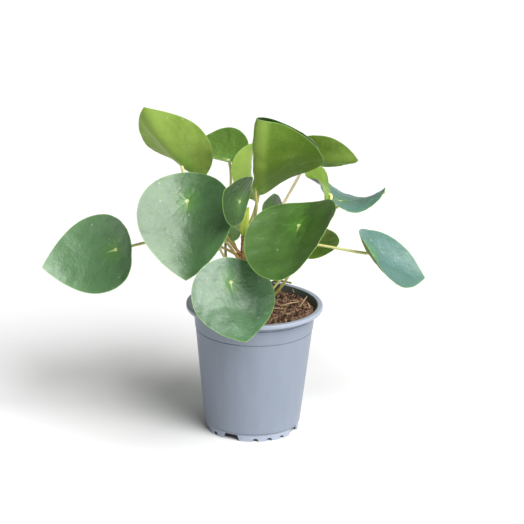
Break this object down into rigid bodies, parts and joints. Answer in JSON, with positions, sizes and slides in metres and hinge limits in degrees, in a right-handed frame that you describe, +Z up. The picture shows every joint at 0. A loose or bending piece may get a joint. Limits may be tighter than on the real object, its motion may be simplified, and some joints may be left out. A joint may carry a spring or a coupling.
{
  "type": "potted pilea plant",
  "caption": "House plant with round, shield-like leaves on long stalks from a short woody stem, in compost in a plain moulded nursery pot.",
  "frame": {"origin": "centre of the pot's underside, on the surface that it stands on", "axes": "+Z up along the pot's axis, +X to the right and -Y to the front as the plant is pictured"},
  "size_m": [0.3354, 0.2209, 0.3007],
  "materials": {
    "pot_plastic": "satin",
    "compost": "matte",
    "woody_stem": "matte",
    "leaf_stalk": "satin",
    "leaf_blade": "satin"
  },
  "bodies": {
    "root": {"pot": "pot_plastic", "soil": "compost", "main_stem": "woody_stem", "leaf_01_blade": "leaf_blade", "leaf_01_stalk": "leaf_stalk", "leaf_02_blade": "leaf_blade", "leaf_02_stalk": "leaf_stalk", "leaf_03_blade": "leaf_blade", "leaf_03_stalk": "leaf_stalk", "leaf_04_blade": "leaf_blade", "leaf_04_stalk": "leaf_stalk", "leaf_05_blade": "leaf_blade", "leaf_05_stalk": "leaf_stalk", "leaf_06_blade": "leaf_blade", "leaf_06_stalk": "leaf_stalk", "leaf_07_blade": "leaf_blade", "leaf_07_stalk": "leaf_stalk", "leaf_08_blade": "leaf_blade", "leaf_08_stalk": "leaf_stalk", "leaf_09_blade": "leaf_blade", "leaf_09_stalk": "leaf_stalk", "leaf_10_blade": "leaf_blade", "leaf_10_stalk": "leaf_stalk", "leaf_11_blade": "leaf_blade", "leaf_11_stalk": "leaf_stalk", "leaf_12_blade": "leaf_blade", "leaf_12_stalk": "leaf_stalk", "leaf_13_blade": "leaf_blade", "leaf_13_stalk": "leaf_stalk", "leaf_14_blade": "leaf_blade", "leaf_14_stalk": "leaf_stalk", "leaf_15_blade": "leaf_blade", "leaf_15_stalk": "leaf_stalk", "leaf_16_blade": "leaf_blade", "leaf_16_stalk": "leaf_stalk"}
  },
  "joints": []
}
